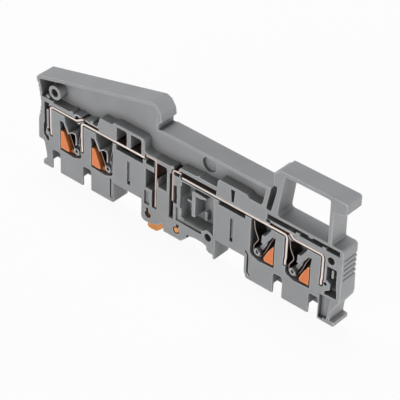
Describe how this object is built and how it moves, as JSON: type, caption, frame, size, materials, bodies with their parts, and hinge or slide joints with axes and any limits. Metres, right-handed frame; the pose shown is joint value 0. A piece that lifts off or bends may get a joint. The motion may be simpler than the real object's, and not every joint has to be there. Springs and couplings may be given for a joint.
{
  "type": "disconnect terminal block",
  "caption": "Rail-mounted spring-clamp terminal block, open on one side, with a swinging knife lever that breaks the circuit between its two ends.",
  "frame": {"origin": "centre of the rail seat, halfway through the block's thickness", "axes": "+X along the block towards the end with the latch, +Y from the open face to the closed back, +Z out of the rail seat towards the rail"},
  "size_m": [0.0941, 0.0063, 0.0374],
  "materials": {
    "grey_plastic": "moulded grey plastic",
    "orange_plastic": "moulded orange plastic",
    "tinned_copper": "tinned copper strip",
    "bare_copper": "bare copper",
    "spring_steel": "spring steel strip"
  },
  "bodies": {
    "housing_body": {"housing": "grey_plastic", "contact_left": "bare_copper", "contact_right": "bare_copper", "bar_outer_left": "tinned_copper", "bar_inner_left": "tinned_copper", "bar_inner_right": "tinned_copper", "bar_outer_right": "tinned_copper", "spring_outer_left": "spring_steel", "spring_inner_left": "spring_steel", "spring_inner_right": "spring_steel", "spring_outer_right": "spring_steel"},
    "lever": {"disconnect_lever": "orange_plastic", "knife_blade": "bare_copper"},
    "button_outer_left": {"pusher_outer_left": "orange_plastic"},
    "button_inner_left": {"pusher_inner_left": "orange_plastic"},
    "button_inner_right": {"pusher_inner_right": "orange_plastic"},
    "button_outer_right": {"pusher_outer_right": "orange_plastic"}
  },
  "joints": [
    {"name": "lever_hinge", "type": "hinge", "parent": "housing_body", "child": "lever", "pos_m": [-0.01152, 0, -0.02626], "axis": [0, -1, 0], "range_deg": [0, 70]},
    {"name": "button_outer_left_slide", "type": "slide", "parent": "housing_body", "child": "button_outer_left", "axis": [0, 0, 1], "range_m": [0, 0.0011], "stiffness_N_per_m": 800},
    {"name": "button_inner_left_slide", "type": "slide", "parent": "housing_body", "child": "button_inner_left", "axis": [0, 0, 1], "range_m": [0, 0.0011], "stiffness_N_per_m": 800},
    {"name": "button_inner_right_slide", "type": "slide", "parent": "housing_body", "child": "button_inner_right", "axis": [0, 0, 1], "range_m": [0, 0.0011], "stiffness_N_per_m": 800},
    {"name": "button_outer_right_slide", "type": "slide", "parent": "housing_body", "child": "button_outer_right", "axis": [0, 0, 1], "range_m": [0, 0.0011], "stiffness_N_per_m": 800}
  ]
}
